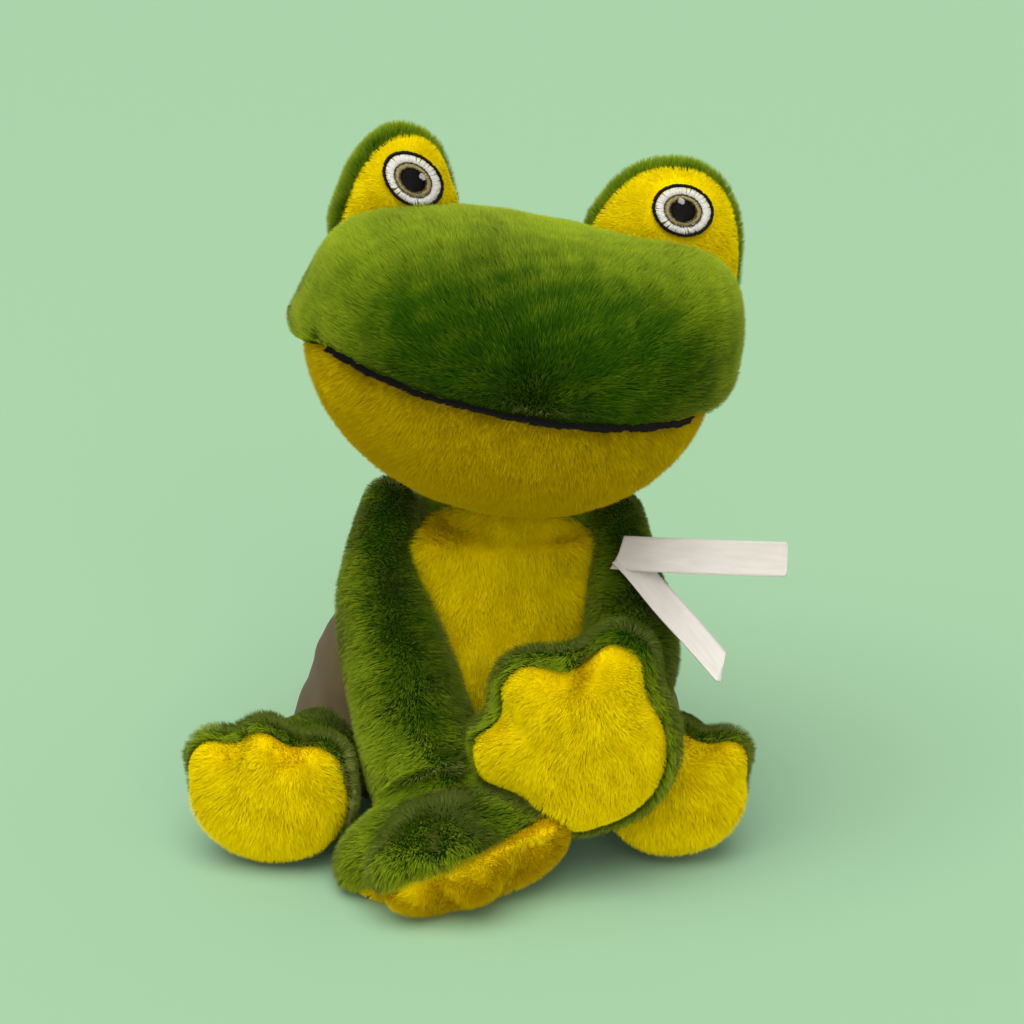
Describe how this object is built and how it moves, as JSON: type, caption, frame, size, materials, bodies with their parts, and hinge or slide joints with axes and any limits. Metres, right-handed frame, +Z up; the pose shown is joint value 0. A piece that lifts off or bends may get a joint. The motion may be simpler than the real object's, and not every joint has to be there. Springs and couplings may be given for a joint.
{
  "type": "sitting plush frog toy",
  "caption": "Sitting stuffed frog with a wide head, raised eye lobes, embroidered eyes and mouth, floppy arms and feet, and a folded blank label.",
  "frame": {"origin": "on the flat of the seat, straight under the neck", "axes": "+Z up; the frog looks along -Y; +X is the side of its left arm"},
  "size_m": [0.2076, 0.1958, 0.2481],
  "materials": {
    "green_pile": "short combed pile, dark roots and lighter tips",
    "yellow_pile": "short soft pile",
    "taupe_cloth": "smooth knitted cloth with fine wrinkles",
    "fibre": "loose polyester fibre",
    "pellet_cloth": "plain bag cloth",
    "closing_thread": "twisted thread",
    "black_thread": "satin stitch",
    "white_thread": "satin stitch",
    "gold_thread": "satin stitch",
    "label_ribbon": "woven satin ribbon, blank"
  },
  "bodies": {
    "torso": {"torso_back": "green_pile", "belly_panel": "yellow_pile", "rump_panel": "taupe_cloth", "torso_filling": "fibre", "pellet_bag": "pellet_cloth"},
    "neck": {"neck_thread": "closing_thread"},
    "head": {"head_crown": "green_pile", "head_jaw": "yellow_pile", "head_filling": "fibre", "mouth_stitching": "black_thread", "right_eye_lobe_back": "green_pile", "right_eye_lobe_front": "yellow_pile", "right_eye_lobe_filling": "fibre", "right_eye_outline": "black_thread", "right_eye_white": "white_thread", "right_eye_iris": "gold_thread", "right_eye_pupil": "black_thread", "right_eye_glint": "white_thread", "left_eye_lobe_back": "green_pile", "left_eye_lobe_front": "yellow_pile", "left_eye_lobe_filling": "fibre", "left_eye_outline": "black_thread", "left_eye_white": "white_thread", "left_eye_iris": "gold_thread", "left_eye_pupil": "black_thread", "left_eye_glint": "white_thread"},
    "right_arm": {"right_arm_sleeve": "green_pile", "right_arm_palm": "yellow_pile", "right_arm_filling": "fibre"},
    "left_arm": {"left_arm_sleeve": "green_pile", "left_arm_palm": "yellow_pile", "left_arm_filling": "fibre"},
    "right_leg": {"right_leg_upper": "green_pile", "right_leg_sole": "yellow_pile", "right_leg_filling": "fibre"},
    "left_leg": {"left_leg_upper": "green_pile", "left_leg_sole": "yellow_pile", "left_leg_filling": "fibre"},
    "label": {"label_upper_leaf": "label_ribbon", "label_lower_leaf": "label_ribbon"}
  },
  "joints": [
    {"name": "neck_turn", "type": "hinge", "parent": "torso", "child": "neck", "pos_m": [0.001, 0.001, 0.108], "axis": [0, 0, 1], "range_deg": [-20, 20]},
    {"name": "neck_nod", "type": "hinge", "parent": "neck", "child": "head", "pos_m": [0.001, 0.001, 0.108], "axis": [-1, 0, 0], "range_deg": [-5, 8]},
    {"name": "right_shoulder", "type": "hinge", "parent": "torso", "child": "right_arm", "pos_m": [-0.043, -0.006, 0.107], "axis": [-0.8238, 0.2813, -0.4922], "range_deg": [0, 25]},
    {"name": "left_shoulder", "type": "hinge", "parent": "torso", "child": "left_arm", "pos_m": [0.038, -0.008, 0.101], "axis": [-0.8016, -0.1403, 0.5812], "range_deg": [0, 18]},
    {"name": "right_hip", "type": "hinge", "parent": "torso", "child": "right_leg", "pos_m": [-0.067, -0.027, 0.024], "axis": [0, 0, -1], "range_deg": [0, 25]},
    {"name": "left_hip", "type": "hinge", "parent": "torso", "child": "left_leg", "pos_m": [0.056, -0.03, 0.024], "axis": [0, 0, 1], "range_deg": [0, 25]},
    {"name": "label_fold", "type": "hinge", "parent": "left_arm", "child": "label", "pos_m": [0.037, -0.0362, 0.103], "axis": [0, 0, -1], "range_deg": [0, 17], "stiffness_Nm_per_rad": 0.002}
  ]
}
